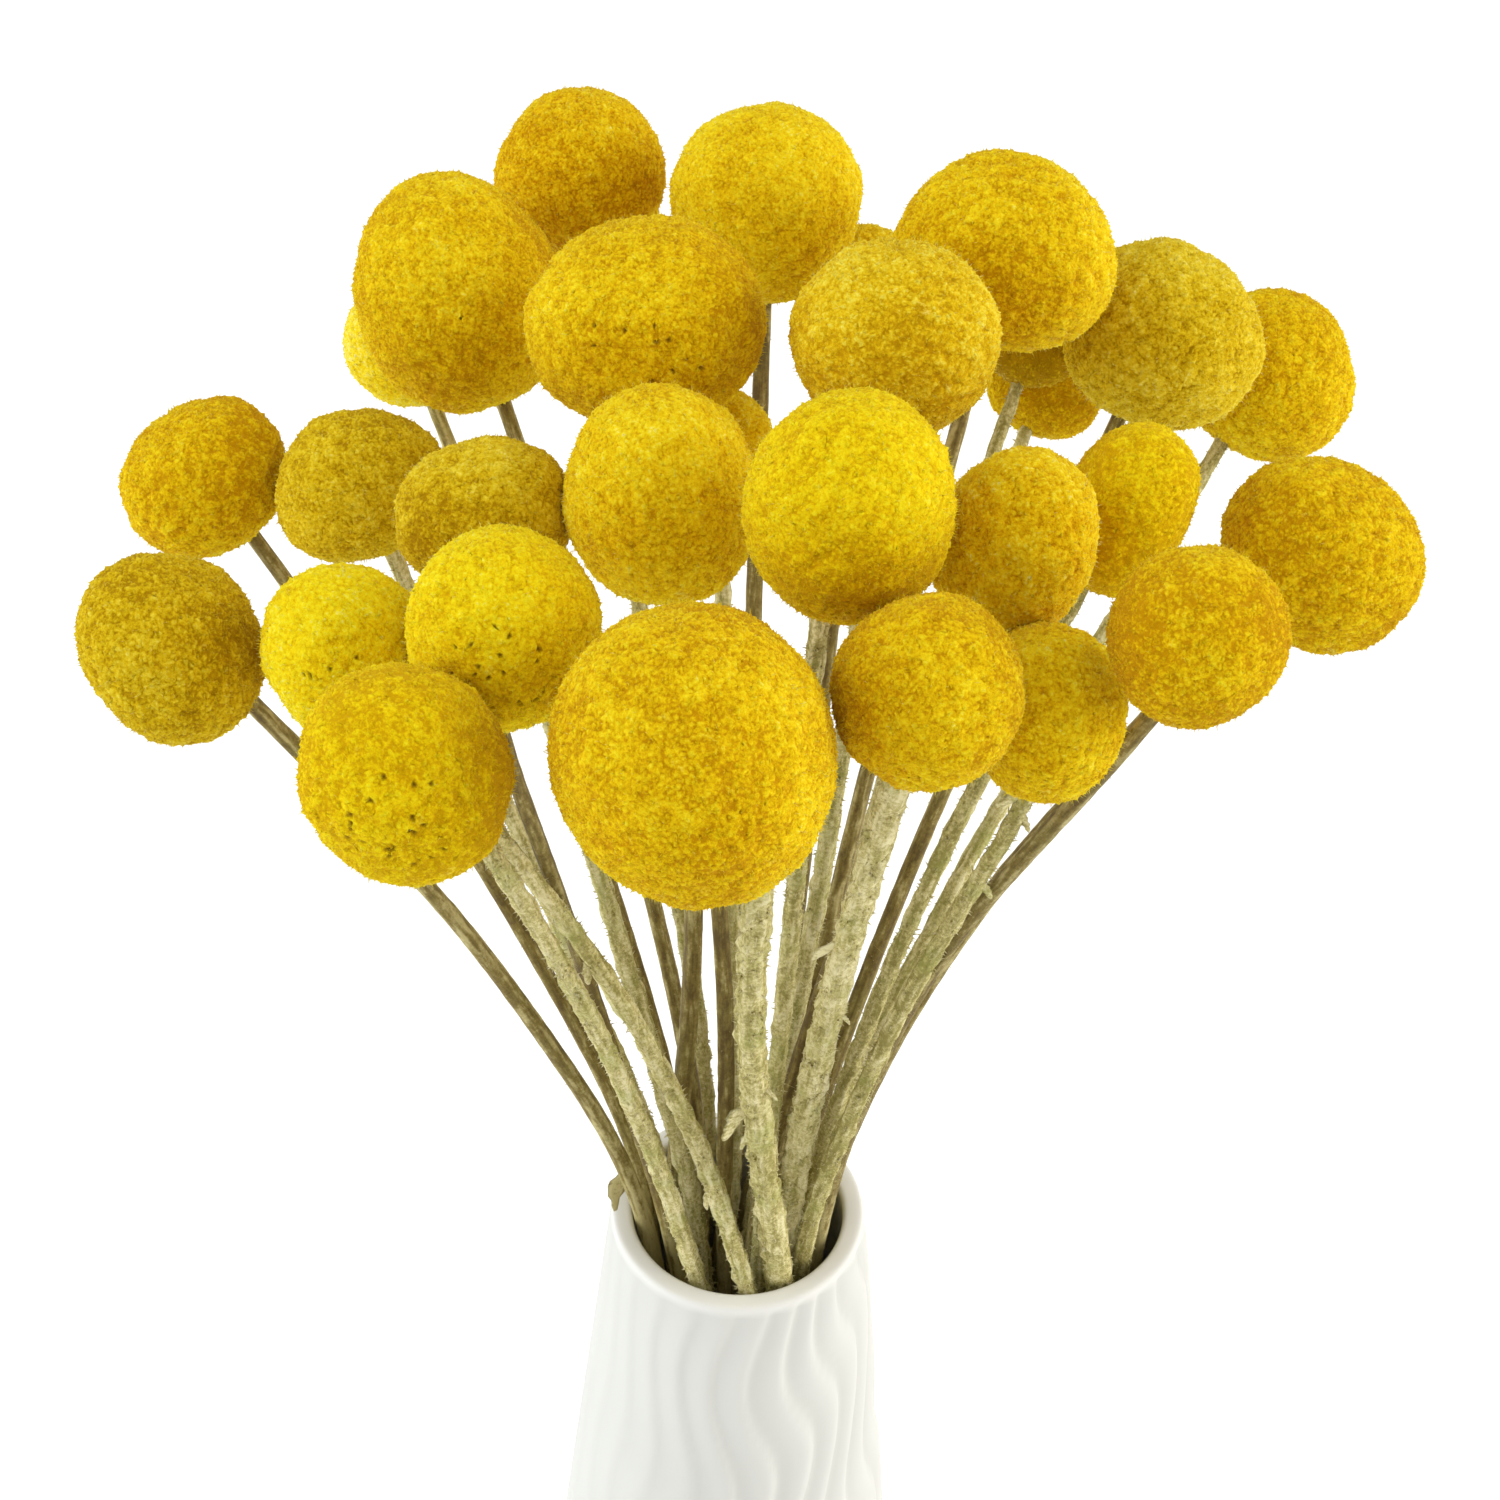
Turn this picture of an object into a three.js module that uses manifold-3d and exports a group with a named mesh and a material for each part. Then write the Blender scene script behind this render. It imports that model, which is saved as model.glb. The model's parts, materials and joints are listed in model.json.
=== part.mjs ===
// A bunch of dried billy buttons in a tapering ceramic vase with wavy flutes.
//
// Every globe head is one closed solid covered with raised florets, every stem is one closed solid from
// its foot on the vase's floor to the socket in its head, and the vase is one hollow solid.
// Millimetres, +Z up. The origin is the middle of the vase's foot, on the surface that it stands on.

import * as THREE from 'three';
import { ConvexHull } from 'three/addons/math/ConvexHull.js';
import { mergeVertices } from 'three/addons/utils/BufferGeometryUtils.js';
import Module from 'manifold-3d';

const wasm = await Module();
wasm.setup();

// ---- driving dimensions: the vase ----

const VASE_HEIGHT = 180;
const MOUTH_RADIUS = 18; // outside of the lip
const TAPER = 0.095; // how much the radius grows for each millimetre down from the lip
const WALL = 3;
const LIP = WALL / 2; // radius of the rounded lip
const LIP_MIDDLE = VASE_HEIGHT - LIP;
const FLOOR = 5;
const FOOT_ROUND = 4;
const FLUTES = 24;
const FLUTE_DEPTH = 0.45; // of a ridge above the plain cone, and of a valley below it
const FLUTE_STEPS = 14; // rings of points between the foot and the plain band at the lip
const PLAIN_LIP = 7; // height of the band where the flutes fade out
const SWAY = 3.2; // how far a flute wanders sideways
const SWAY_LENGTH = 74; // height of one full wave of that wandering

// ---- driving dimensions: the stems ----

const STEM_SIDES = 6;
const STEM_BOW = 0.22; // how far a stem's middle stands above the straight line to its head
const FOOT_SWIRL = THREE.MathUtils.degToRad(90); // a foot stands this far round from the mouth crossing
const FOOT_SPREAD = 1.8; // and this much further out
const CLEARANCE = 0.3; // between any two pieces
const STEM_CLEARANCE = 0.4; // between the round stems, whose flat sides then lie a little further apart
const SOCKET_DEPTH = 3; // how far a stem's tip reaches into its head
const NECK = 3; // straight length of stem below its head
const SETTLING_ROUNDS = 500;

// ---- driving dimensions: the heads ----

const FLORETS = 52; // raised on each head, larger than life
const FLORET_RELIEF = 0.9; // from a floret's peak down to the furrows round it
const UNEVENNESS = 0.016; // slow swelling of a head, as a share of its size

const FINISHES = {
  lemon: { color: '#e3c81f', roughness: 0.95, metalness: 0 },
  golden: { color: '#d9b01d', roughness: 0.95, metalness: 0 },
  amber: { color: '#c9991b', roughness: 0.95, metalness: 0 },
  mustard: { color: '#c3a021', roughness: 0.95, metalness: 0 },
  pale: { color: '#d8bb38', roughness: 0.95, metalness: 0 },
  woolly: { color: '#b7ac6b', roughness: 0.95, metalness: 0 },
  smooth: { color: '#77632f', roughness: 0.75, metalness: 0 },
  ceramic: { color: '#f1f0ec', roughness: 0.55, metalness: 0 },
};

// One row for each flower:
// - the middle of its head, as x, y and z;
// - the head's width and height, and the share by which it is wider at the top than at the stem;
// - where its stem crosses the vase's mouth, as x and y;
// - the stem's thickness, and how far its middle and its upper end are bent towards +X;
// - the finishes of the head and the stem.
const FLOWERS = [
  [[-27, 76.2, 302.2], [23, 23], -0.1, [-4.4, 11.4], 3, [-1.5, 0], 'amber', 'woolly'],
  [[-1.9, 62.9, 306.9], [24.8, 25.2], 0.14, [-0.5, 9], 2.6, [0, 0], 'golden', 'smooth'],
  [[27.5, 38.7, 317.7], [28.4, 23.8], -0.14, [4.6, 4.9], 2.6, [1, 0], 'golden', 'smooth'],
  [[49.2, 47, 300], [26.1, 24.3], 0.04, [7.7, 5.6], 2.6, [0.5, 0], 'mustard', 'smooth'],
  [[67, 64, 283], [23.6, 22.8], -0.12, [10, 8.1], 3, [2, 0], 'golden', 'woolly'],
  [[-40.2, 48.3, 301.2], [26, 32.6], -0.03, [-5.2, 6.3], 2.6, [1, 0], 'golden', 'smooth'],
  [[-49.4, 61.8, 283.7], [17.1, 17.7], 0, [-8.4, 9], 2.6, [0, 0], 'golden', 'smooth'],
  [[-15.5, 23.4, 315.4], [28.6, 24.8], 0, [-9.4, 1.8], 2.8, [4, 0], 'golden', 'smooth'],
  [[13.7, 15.8, 319.8], [25.3, 22.4], 0.04, [2.4, 1.2], 3.2, [3, 0], 'pale', 'woolly'],
  [[12, 71, 291], [15, 15], 0, [3.7, 10.5], 2.4, [1.5, 0], 'pale', 'smooth'],
  [[35, 63, 289], [15, 15], 0, [5.7, 8.1], 2.6, [0, 0], 'mustard', 'woolly'],
  [[38.2, 74.3, 272.3], [16.4, 16], 0, [6.6, 11.3], 2.6, [0, 0], 'golden', 'woolly'],
  [[-6.6, 28.6, 293.5], [15, 15], 0, [-0.3, 3.9], 2.8, [0, 0], 'amber', 'woolly'],
  [[-12.2, -2.3, 309.7], [22, 26.4], -0.04, [-2.2, -2], 2.6, [2, 0], 'golden', 'smooth'],
  [[8.4, -19.1, 323.1], [23.2, 25], 0, [4.5, -5.3], 3.2, [0, -2], 'lemon', 'woolly'],
  [[-68.8, 20, 292], [22, 19.2], 0.02, [-12.4, 3.5], 2.4, [-1, 0], 'golden', 'smooth'],
  [[-49, 14, 297], [21.4, 17.6], -0.09, [-9.4, 0.7], 3, [-3, 0], 'mustard', 'woolly'],
  [[-32.4, 0.1, 304.2], [20.4, 18], 0.02, [-6.2, -1.8], 3.2, [-2, 0], 'mustard', 'woolly'],
  [[27, -12, 313], [18, 23], 0, [2.7, -2.2], 2.6, [0, 0], 'amber', 'smooth'],
  [[40.5, 0.4, 308.4], [14.4, 22.6], -0.07, [9.2, -1.2], 3, [0, 0], 'lemon', 'woolly'],
  [[63.8, 2.5, 301.5], [25.2, 21.5], 0.11, [12.4, 4.5], 3, [-2, 0], 'golden', 'smooth'],
  [[-65.6, -19.4, 299.6], [19, 23.6], -0.12, [-12.9, -1.5], 2.6, [-1, 1.5], 'mustard', 'smooth'],
  [[-45.3, -23.5, 303.3], [18.4, 20], 0.02, [2, -12.6], 3.2, [1.5, -1], 'lemon', 'woolly'],
  [[-27.8, -27.9, 311.1], [20.2, 23.9], 0.01, [-9.5, -5], 2.4, [-4, -3.5], 'lemon', 'smooth'],
  [[-36.3, -48, 309.1], [20.8, 24.7], -0.05, [-5.7, -11.6], 3.2, [-1, 3], 'lemon', 'woolly'],
  [[-6.6, -48.9, 313.1], [28.6, 32.6], 0, [6.8, -10.6], 5, [-2.7, 7], 'golden', 'woolly'],
  [[17, -39, 315], [20, 21], 0, [5.4, -4.6], 5, [0.5, 0], 'golden', 'woolly'],
  [[30.9, -28.5, 303], [17.5, 20.6], 0.03, [8.6, -8.8], 3, [1, 3.5], 'golden', 'woolly'],
  [[44.7, -33.8, 319.2], [18.8, 19.1], 0.03, [10, -5.2], 2.6, [-3.5, 4], 'golden', 'smooth'],
].map(([at, size, flare, mouth, thickness, [bend, lean], head, bark]) => {
  return { at, size, flare, mouth, thickness, bend, lean, head, bark };
});

const UP = new THREE.Vector3(0, 0, 1);

// ---- closed skins ----

// A geometry from its points and from three point numbers for each triangle.
function skin(points, faces) {
  const geometry = new THREE.BufferGeometry();
  geometry.setAttribute('position', new THREE.Float32BufferAttribute(points.flatMap((p) => p.toArray()), 3));
  geometry.setIndex(faces.flat());
  return geometry;
}

// Joins a row of rings, which all have the same number of points, and closes both ends with a fan round
// the ring's middle. Seen from the last ring, the points of every ring go round anticlockwise.
function skinRings(rings) {
  const around = rings[0].length;
  const points = rings.flat();
  const faces = [];
  for (let level = 1; level < rings.length; level++) {
    for (let side = 0; side < around; side++) {
      const next = (side + 1) % around;
      const low = (level - 1) * around;
      const high = level * around;
      faces.push(...splitFour(points, low + side, low + next, high + next, high + side));
    }
  }
  const last = (rings.length - 1) * around;
  const firstMiddle = points.push(middle(rings[0])) - 1;
  const lastMiddle = points.push(middle(rings.at(-1))) - 1;
  for (let side = 0; side < around; side++) {
    const next = (side + 1) % around;
    faces.push([firstMiddle, next, side], [lastMiddle, last + side, last + next]);
  }
  return skin(points, faces);
}

// Splits a four-sided field into two triangles along its shorter diagonal.
function splitFour(points, a, b, c, d) {
  if (points[a].distanceTo(points[c]) <= points[b].distanceTo(points[d])) return [[a, b, c], [a, c, d]];
  return [[a, b, d], [b, c, d]];
}

function middle(points) {
  return points.reduce((sum, point) => sum.add(point), new THREE.Vector3()).divideScalar(points.length);
}

function solid(geometry) {
  const merged = mergeVertices(geometry);
  return new wasm.Manifold(new wasm.Mesh({
    numProp: 3,
    vertProperties: new Float32Array(merged.attributes.position.array),
    triVerts: new Uint32Array(merged.index.array),
  }));
}

function cutAway(geometry, tool) {
  const { vertProperties, triVerts } = solid(geometry).subtract(solid(tool)).getMesh();
  const result = new THREE.BufferGeometry();
  result.setAttribute('position', new THREE.BufferAttribute(vertProperties, 3));
  result.setIndex(new THREE.BufferAttribute(triVerts, 1));
  return result;
}

// ---- vase ----

function outerRadius(z) {
  return MOUTH_RADIUS + TAPER * (VASE_HEIGHT - z);
}

function innerRadius(z) {
  return outerRadius(z) - WALL;
}

// One ring of the vase. Ridges alternate with valleys, and the points move round with the flutes, which
// wander sideways as they climb.
function vaseRing(radius, z, relief) {
  return Array.from({ length: 2 * FLUTES }, (_, k) => {
    const plain = (k * Math.PI) / FLUTES;
    const angle = plain + fluteSway(plain, z) * relief;
    const r = radius + (k % 2 ? -FLUTE_DEPTH : FLUTE_DEPTH) * relief;
    return new THREE.Vector3(r * Math.cos(angle), r * Math.sin(angle), z);
  });
}

// The angle by which a flute has wandered at a height. Each side of the vase has its own wave.
function fluteSway(angle, z) {
  const down = VASE_HEIGHT - z;
  const shift = 1.3 * Math.sin(angle) + 0.8 * Math.cos(2 * angle);
  return (SWAY * Math.sin((2 * Math.PI * down) / SWAY_LENGTH + shift)) / outerRadius(z);
}

function vaseGeometry() {
  const rings = [];
  for (const angle of [0, Math.PI / 4, Math.PI / 2]) {
    const radius = outerRadius(FOOT_ROUND) - FOOT_ROUND * (1 - Math.sin(angle));
    rings.push(vaseRing(radius, FOOT_ROUND * (1 - Math.cos(angle)), 0));
  }
  for (let step = 1; step <= FLUTE_STEPS; step++) {
    const z = THREE.MathUtils.mapLinear(step, 0, FLUTE_STEPS, FOOT_ROUND, LIP_MIDDLE - PLAIN_LIP);
    const aboveFoot = THREE.MathUtils.smoothstep(z, FOOT_ROUND, 5 * FOOT_ROUND);
    const belowLip = 1 - THREE.MathUtils.smoothstep(z, LIP_MIDDLE - 3 * PLAIN_LIP, LIP_MIDDLE);
    rings.push(vaseRing(outerRadius(z), z, aboveFoot * belowLip));
  }
  for (const angle of [0, Math.PI / 4, Math.PI / 2, (3 * Math.PI) / 4, Math.PI]) {
    rings.push(vaseRing(MOUTH_RADIUS - LIP + LIP * Math.cos(angle), LIP_MIDDLE + LIP * Math.sin(angle), 0));
  }
  for (const z of [VASE_HEIGHT / 2, FLOOR + FOOT_ROUND]) rings.push(vaseRing(innerRadius(z), z, 0));
  rings.push(vaseRing(innerRadius(FLOOR) - FOOT_ROUND, FLOOR, 0));
  return skinRings(rings);
}

// ---- routes of the stems ----

// A stem climbs from its foot through the mouth and bows out to its head, which it meets in line with
// the head's own axis. The last two nodes are its neck and its tip inside the head.
function planStem(flower) {
  const head = new THREE.Vector3(...flower.at);
  const mouth = new THREE.Vector3(...flower.mouth, VASE_HEIGHT);
  const chord = head.clone().sub(mouth);
  const along = chord.clone().normalize();
  const lift = UP.clone().addScaledVector(along, -UP.dot(along)).multiplyScalar(STEM_BOW * chord.length());
  const control = mouth.clone().addScaledVector(chord, 0.5).add(lift);
  control.x += 2 * flower.bend;
  const end = head.clone().setX(head.x + flower.lean);
  const bow = new THREE.QuadraticBezierCurve3(mouth, control, end);
  const drop = flower.size[1] / 2 - FLORET_RELIEF;
  const axis = head.clone().sub(control).normalize();
  axis.setX(axis.x - flower.lean / (drop + NECK)).normalize();
  const neck = head.clone().addScaledVector(axis, -drop - NECK);
  const tip = head.clone().addScaledVector(axis, SOCKET_DEPTH - drop);

  const foot = mouth.clone().applyAxisAngle(UP, FOOT_SWIRL).multiplyScalar(FOOT_SPREAD);
  foot.z = FLOOR + CLEARANCE;
  const waist = foot.clone().lerp(mouth, 0.35);
  waist.z = VASE_HEIGHT / 2;
  const spine = new THREE.CatmullRomCurve3([foot, waist, mouth, bow.getPoint(0.3), bow.getPoint(0.6), neck]);
  const nodes = [0, 0.12, 0.24, 0.32, 0.37, 0.4, 0.44, 0.5, 0.6, 0.75, 1].map((t) => spine.getPoint(t));
  nodes.push(tip);
  return {
    axis,
    nodes,
    plan: nodes.map((node) => node.clone()),
    radii: nodes.map((node) => stemRadius(flower, node.z)),
    head: { middle: head, form: headForm(flower), turn: new THREE.Quaternion().setFromUnitVectors(UP, axis) },
  };
}

// Stems thin out towards their heads.
function stemRadius(flower, z) {
  return (flower.thickness / 2) * THREE.MathUtils.mapLinear(z, FLOOR, flower.at[2], 1.1, 0.78);
}

// Moves the stems apart until each is clear of the others, of the heads and of the vase. Each push is
// evened out along the stem, so that it stays one easy curve.
function settle(stems) {
  for (let round = 0; round < SETTLING_ROUNDS; round++) {
    const pushes = stems.map((stem) => stem.nodes.map(() => new THREE.Vector3()));
    for (let i = 0; i < stems.length; i++) {
      pushOffLip(stems[i], pushes[i]);
      for (let j = 0; j < stems.length; j++) {
        if (j > i) pushStemsApart(stems[i], stems[j], pushes[i], pushes[j]);
        if (j !== i) pushOffHead(stems[i], stems[j].head, pushes[i]);
      }
    }
    stems.forEach((stem, i) => {
      move(stem, pushes[i]);
      stayInVase(stem);
    });
  }
}

const spanA = new THREE.Line3();
const spanB = new THREE.Line3();
const nearA = new THREE.Vector3();
const nearB = new THREE.Vector3();

function pushStemsApart(a, b, pushesA, pushesB) {
  for (let i = 1; i < a.nodes.length; i++) {
    spanA.set(a.nodes[i - 1], a.nodes[i]);
    for (let j = 1; j < b.nodes.length; j++) {
      spanB.set(b.nodes[j - 1], b.nodes[j]);
      const need = a.radii[i - 1] + b.radii[j - 1] + STEM_CLEARANCE;
      if (spanA.start.z > spanB.end.z + need || spanB.start.z > spanA.end.z + need) continue;
      const distance = Math.sqrt(spanA.distanceSqToLine3(spanB, nearA, nearB));
      if (distance >= need) continue;
      const away = nearA.clone().sub(nearB).setZ(0).normalize().multiplyScalar((need - distance) / 2);
      spread(pushesA, i, share(spanA, nearA), away);
      spread(pushesB, j, share(spanB, nearB), away.negate());
    }
  }
}

// How far along a span a point lies, from 0 to 1.
function share(span, point) {
  return point.distanceTo(span.start) / span.distance();
}

// Divides a push between the two nodes of a span.
function spread(pushes, span, part, push) {
  pushes[span - 1].addScaledVector(push, 1 - part);
  pushes[span].addScaledVector(push, part);
}

// A head is treated as an ellipsoid, which the stem and its clearance have to stay outside of.
function pushOffHead(stem, head, pushes) {
  const around = stem.radii.at(-3) + 2 * CLEARANCE;
  const [a, b, c] = head.form.map((half) => half * (1 + 3 * UNEVENNESS) + around);
  const reach = Math.max(a, b, c);
  for (let i = 1; i < stem.nodes.length; i++) {
    spanA.set(stem.nodes[i - 1], stem.nodes[i]);
    spanA.closestPointToPoint(head.middle, true, nearA);
    const offset = nearA.clone().sub(head.middle);
    if (offset.length() >= reach) continue;
    const inHead = offset.clone().applyQuaternion(head.turn.clone().invert());
    const depth = 1 - Math.hypot(inHead.x / a, inHead.y / b, inHead.z / c);
    const away = offset.setZ(0).normalize().multiplyScalar(depth * reach);
    if (depth > 0) spread(pushes, i, share(spanA, nearA), away);
  }
}

// A stem leans on the rounded lip. The lip is a ring of round wire here, whose middle line the stem may
// not come too near.
function pushOffLip(stem, pushes) {
  for (let i = 1; i < stem.nodes.length; i++) {
    spanA.set(stem.nodes[i - 1], stem.nodes[i]);
    if (spanA.end.z < LIP_MIDDLE - MOUTH_RADIUS || spanA.start.z > LIP_MIDDLE + MOUTH_RADIUS) continue;
    const out = spanA.getCenter(nearA).clone().setZ(0).normalize();
    nearB.copy(out).multiplyScalar(MOUTH_RADIUS - LIP).setZ(LIP_MIDDLE);
    spanA.closestPointToPoint(nearB, true, nearA);
    const lack = LIP + stem.radii[i - 1] + STEM_CLEARANCE - nearA.distanceTo(nearB);
    if (lack > 0) spread(pushes, i, share(spanA, nearA), out.multiplyScalar(-lack));
  }
}

// Moves every node but the neck and the tip from its planned place by its pushes so far.
function move(stem, pushes) {
  const drift = stem.nodes.map((node, k) => node.clone().sub(stem.plan[k]).addScaledVector(pushes[k], 0.6));
  for (let k = 0; k < stem.nodes.length - 2; k++) {
    const neighbours = drift[Math.max(k - 1, 0)].clone().add(drift[k + 1]).multiplyScalar(0.5);
    stem.nodes[k].copy(stem.plan[k]).add(drift[k].clone().lerp(neighbours, 0.12).setZ(0));
  }
}

// Keeps every node that stands in the vase inside its wall.
function stayInVase(stem) {
  stem.nodes.forEach((node, k) => {
    if (node.z > LIP_MIDDLE) return;
    const footRound = node.z < FLOOR + FOOT_ROUND ? FOOT_ROUND : 0;
    const limit = innerRadius(node.z) - footRound - stem.radii[k] - STEM_CLEARANCE;
    const inward = Math.min(1, limit / Math.hypot(node.x, node.y));
    node.set(node.x * inward, node.y * inward, node.z);
  });
}

// A stem's foot is cut level with the floor, and its other rings stand square to its route.
function stemGeometry(stem) {
  return skinRings(stem.nodes.map((node, k) => {
    const before = stem.nodes[Math.max(k - 1, 0)];
    const after = stem.nodes[Math.min(k + 1, stem.nodes.length - 1)];
    return stemRing(node, k === 0 ? UP : after.clone().sub(before).normalize(), stem.radii[k]);
  }));
}

function stemRing(centre, ahead, radius) {
  const across = new THREE.Vector3(1, 0, 0).addScaledVector(ahead, -ahead.x).normalize();
  const through = new THREE.Vector3().crossVectors(ahead, across);
  return Array.from({ length: STEM_SIDES }, (_, side) => {
    const angle = (side * 2 * Math.PI) / STEM_SIDES;
    const point = centre.clone().addScaledVector(across, radius * Math.cos(angle));
    return point.addScaledVector(through, radius * Math.sin(angle));
  });
}

// ---- heads ----

// Half the width, half the depth and half the height of a head.
function headForm(flower) {
  const [width, height] = flower.size;
  return [width / 2, (width + height) / 4, height / 2];
}

// Directions spread evenly over a globe, one for each floret.
function floretDirections() {
  const goldenAngle = Math.PI * (3 - Math.sqrt(5));
  return Array.from({ length: FLORETS }, (_, k) => {
    const z = 1 - (2 * k + 1) / FLORETS;
    const r = Math.sqrt(1 - z * z);
    return new THREE.Vector3(r * Math.cos(k * goldenAngle), r * Math.sin(k * goldenAngle), z);
  });
}

const florets = floretDirections();
const triangles = hullTriangles(florets);

// The triangles between neighbouring florets, as three floret numbers each.
function hullTriangles(points) {
  const number = new Map(points.map((point, k) => [point, k]));
  return new ConvexHull().setFromPoints(points).faces.map((face) => {
    return [0, 1, 2].map((corner) => number.get(face.getEdge(corner).head().point));
  });
}

// A floret is a low pyramid. Its peak lies on the head's form, and the furrow round it runs through the
// middles of the triangles between neighbouring florets.
function headGeometry(flower, index, stem) {
  const roll = new THREE.Quaternion().setFromAxisAngle(new THREE.Vector3(1, 2, 3).normalize(), index);
  const surface = headSurface(flower, index);
  const peaks = florets.map((direction) => surface(direction.clone().applyQuaternion(roll), 0));
  const furrows = triangles.map((corners) => {
    const between = middle(corners.map((k) => florets[k])).normalize();
    return surface(between.applyQuaternion(roll), FLORET_RELIEF);
  });
  const furrowBeside = new Map();
  triangles.forEach(([a, b, c], t) => {
    for (const [from, to] of [[a, b], [b, c], [c, a]]) furrowBeside.set(from * FLORETS + to, FLORETS + t);
  });
  const faces = [];
  for (const [edge, furrow] of furrowBeside) {
    const from = Math.floor(edge / FLORETS);
    const to = edge % FLORETS;
    faces.push([from, furrowBeside.get(to * FLORETS + from), furrow]);
  }
  const globe = skin([...peaks, ...furrows], faces);
  globe.applyQuaternion(stem.head.turn).translate(...flower.at);
  return cutAway(globe, socketGeometry(stem));
}

// Gives the point of a head's surface in a direction, a depth below its florets' peaks. The head swells
// unevenly, and by its flare it is wider at the top than at the stem.
function headSurface(flower, index) {
  const [a, b, c] = headForm(flower);
  return (d, depth) => {
    const waves = [3 * d.x + index, 2.6 * d.y + 2 * index, 3.4 * d.z + 3 * index];
    const swell = waves.reduce((sum, wave) => sum + Math.sin(wave), 0);
    const side = 1 + flower.flare * d.z;
    const point = new THREE.Vector3(a * d.x * side, b * d.y * side, c * d.z);
    point.multiplyScalar(1 + UNEVENNESS * swell);
    return point.setLength(point.length() - depth);
  };
}

// The hole that the stem's tip goes into, a clearance wider and deeper than the tip.
function socketGeometry(stem) {
  const neck = stem.nodes.at(-2);
  const end = stem.nodes.at(-1).clone().addScaledVector(stem.axis, CLEARANCE);
  const radius = stem.radii.at(-2) + CLEARANCE / Math.cos(Math.PI / STEM_SIDES);
  return skinRings([stemRing(neck, stem.axis, radius), stemRing(end, stem.axis, radius)]);
}

// ---- assembly ----

function piece(name, geometry, finish) {
  const mesh = new THREE.Mesh(geometry, new THREE.MeshStandardMaterial(FINISHES[finish]));
  mesh.name = name;
  return mesh;
}

const group = new THREE.Group();
group.add(piece('vase', vaseGeometry(), 'ceramic'));

const stems = FLOWERS.map(planStem);
settle(stems);
FLOWERS.forEach((flower, k) => {
  const number = String(k + 1).padStart(2, '0');
  group.add(piece(`stem_${number}`, stemGeometry(stems[k]), flower.bark));
  group.add(piece(`head_${number}`, headGeometry(flower, k, stems[k]), flower.head));
});

export default group;
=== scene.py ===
# %% [markdown]
# # A bunch of dried billy buttons in a fluted vase
#
# Billy buttons are flower heads made of many hundreds of tiny florets, packed into a ball as big as a
# grape or a walnut. Dried, they keep their yellow and stand on bare stalks for years.
#
# This lesson dresses a plain model of such a bunch. The plain model, which is called the frame here, has
# the true sizes and places: a ball for every head, a rod for every stalk and a hollow vase. Each of them
# gets a finer piece that keeps its form, and a finish of its own.
#
# Blender's unit is the metre. +Z is up, and the vase stands on the floor at the origin.

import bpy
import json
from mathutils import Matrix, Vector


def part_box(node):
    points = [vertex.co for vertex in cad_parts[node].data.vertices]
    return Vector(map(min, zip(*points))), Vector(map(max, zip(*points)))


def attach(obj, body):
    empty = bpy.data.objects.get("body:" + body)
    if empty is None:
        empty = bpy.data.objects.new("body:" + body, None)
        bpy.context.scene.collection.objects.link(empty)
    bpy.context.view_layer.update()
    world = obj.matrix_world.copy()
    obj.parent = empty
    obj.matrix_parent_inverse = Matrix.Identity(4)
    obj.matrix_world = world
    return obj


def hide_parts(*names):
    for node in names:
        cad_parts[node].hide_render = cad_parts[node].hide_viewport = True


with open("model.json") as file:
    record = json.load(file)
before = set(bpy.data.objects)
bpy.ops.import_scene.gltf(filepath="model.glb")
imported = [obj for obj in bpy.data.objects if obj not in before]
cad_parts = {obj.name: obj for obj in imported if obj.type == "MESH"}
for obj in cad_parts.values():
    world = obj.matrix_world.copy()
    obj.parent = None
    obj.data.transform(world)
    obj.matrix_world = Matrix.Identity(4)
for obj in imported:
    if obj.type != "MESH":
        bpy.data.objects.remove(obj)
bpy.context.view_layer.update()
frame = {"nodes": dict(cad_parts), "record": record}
print("the frame has", len(frame["nodes"]), "pieces")

# %% [markdown]
# ## Tools for the whole lesson
#
# Large meshes are quickest to make with numpy, which works on whole rows of points at a time. Blender
# takes the finished points and faces in one go.
#
# Every finer piece then rides on the bunch's root, the plain piece that it stands for is hidden, and it takes
# its look from one of the bunch's finishes. A point of a mesh can also carry a number of its own, such as how
# high it lies in the relief, and the finish can read it.

# %% Import the tools
import json
import math

import bmesh
import bpy
import numpy as np
from mathutils import Euler, Vector

MM = 0.001

finish_of = {part["node"]: part["material_slot"] for part in frame["record"]["subparts"]}
triangle_count = 0


def make_piece(name, points, faces, material):
    """Makes an object from points and faces."""
    mesh = bpy.data.meshes.new(name)
    mesh.from_pydata(points, [], faces)
    mesh.materials.append(material)
    mesh.shade_smooth()
    piece = bpy.data.objects.new(name, mesh)
    bpy.context.scene.collection.objects.link(piece)
    return piece


def stand_for(piece, node):
    """Puts a finer piece in the place of a plain one."""
    global triangle_count
    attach(piece, "root")
    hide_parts(node)
    triangle_count += sum(len(face.vertices) - 2 for face in piece.data.polygons)


def mark(piece, name, values):
    """Stores a number, or three of them, for each point of a piece."""
    values = np.asarray(values, dtype=np.float32)
    kind, key = ("FLOAT", "value") if values.ndim == 1 else ("FLOAT_VECTOR", "vector")
    layer = piece.data.attributes.new(name, kind, "POINT")
    layer.data.foreach_set(key, values.ravel())


def frame_mesh(node):
    """The points and triangles of a plain piece."""
    mesh = frame["nodes"][node].data
    points = np.empty(3 * len(mesh.vertices))
    mesh.vertices.foreach_get("co", points)
    triangles = np.empty(3 * len(mesh.polygons), dtype=np.int32)
    mesh.polygons.foreach_get("vertices", triangles)
    return points.reshape(-1, 3), triangles.reshape(-1, 3)


def unit(vectors):
    """The same directions, each 1 long."""
    return vectors / np.linalg.norm(vectors, axis=-1, keepdims=True)


print("one millimetre is", MM, "of Blender's units")

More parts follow.
